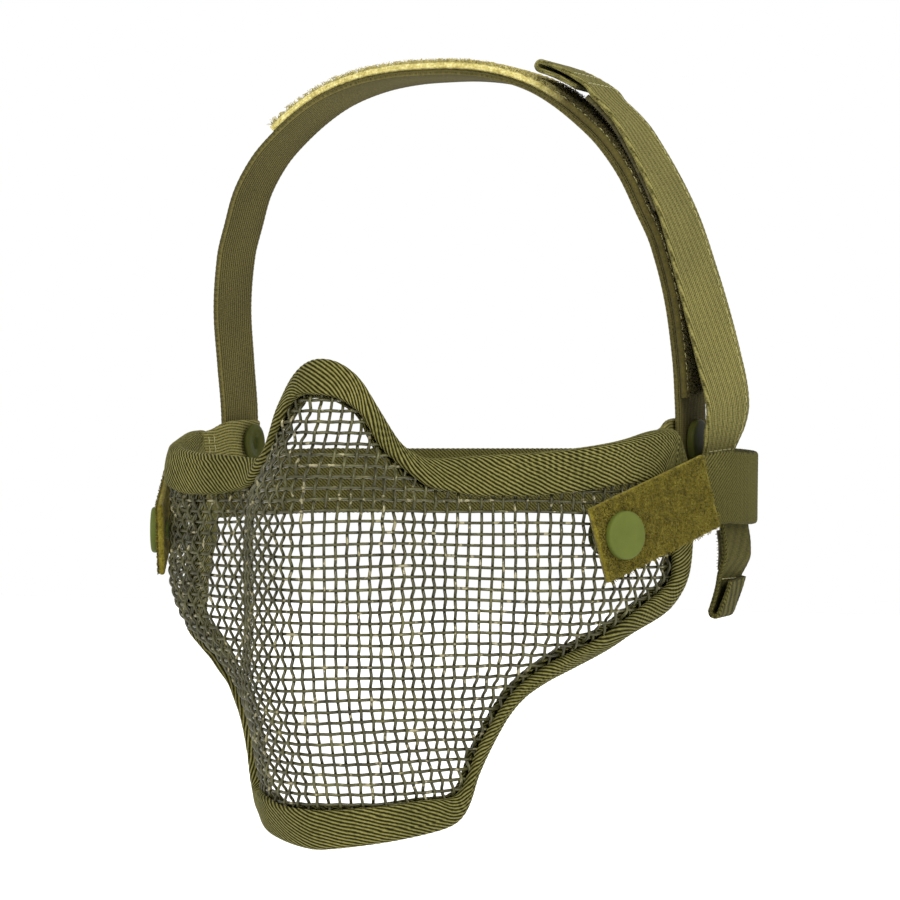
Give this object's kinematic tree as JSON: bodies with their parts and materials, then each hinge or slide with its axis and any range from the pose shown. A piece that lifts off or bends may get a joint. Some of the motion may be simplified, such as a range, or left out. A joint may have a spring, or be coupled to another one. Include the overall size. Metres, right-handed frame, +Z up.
{
  "type": "lower-face mesh mask",
  "caption": "Lower-face mask of olive woven wire mesh with a taped edge, snap tabs, a crown strap and a neck strap that fasten back on themselves.",
  "frame": {"origin": "midway between the two ear corners of the mask and level with them, where the wearer's head holds it", "axes": "+Z up along the face, the face looks towards -Y, +X to the wearer's left"},
  "size_m": [0.1678, 0.1694, 0.2048],
  "materials": {
    "wire": "satin",
    "tape": "matte",
    "webbing": "matte",
    "elastic": "matte",
    "pile": "matte",
    "loop": "matte",
    "hook": "matte",
    "cap_olive": "matte",
    "cap_dark": "satin"
  },
  "bodies": {
    "mask": {"wire_panel": "wire", "edge_tape": "tape", "cheek_snap_left": "cap_olive", "cheek_snap_right": "cap_olive", "cheek_stud_left": "cap_dark", "cheek_stud_right": "cap_dark", "ear_snap_left": "cap_dark", "ear_snap_right": "cap_dark", "ear_stud_left": "cap_dark", "ear_stud_right": "cap_dark", "ear_tab_left": "webbing", "ear_tab_right": "webbing"},
    "crown_harness": {"crown_strap": "elastic", "crown_pile": "pile"},
    "crown_free_end": {"crown_tail": "webbing", "crown_hook": "hook"},
    "neck_harness": {"cheek_tab_left": "loop", "cheek_tab_right": "loop", "neck_strap": "webbing"},
    "neck_free_end": {"neck_tail": "webbing", "neck_hook": "hook"}
  },
  "joints": [
    {"name": "crown_swing", "type": "hinge", "parent": "mask", "child": "crown_harness", "pos_m": [0, 0.014, 0.002], "axis": [1, 0, 0], "range_deg": [-6, 6]},
    {"name": "crown_peel", "type": "hinge", "parent": "crown_harness", "child": "crown_free_end", "pos_m": [0.0705, 0.0148, -0.0064], "axis": [0, 1, 0], "range_deg": [0, 12]},
    {"name": "neck_swing", "type": "hinge", "parent": "mask", "child": "neck_harness", "pos_m": [0, -0.03213, -0.0216], "axis": [1, 0, 0], "range_deg": [-6, 1.5]},
    {"name": "neck_peel", "type": "hinge", "parent": "neck_harness", "child": "neck_free_end", "pos_m": [0.0786, 0.0185, -0.019], "axis": [0, -1, 0], "range_deg": [0, 20]}
  ]
}
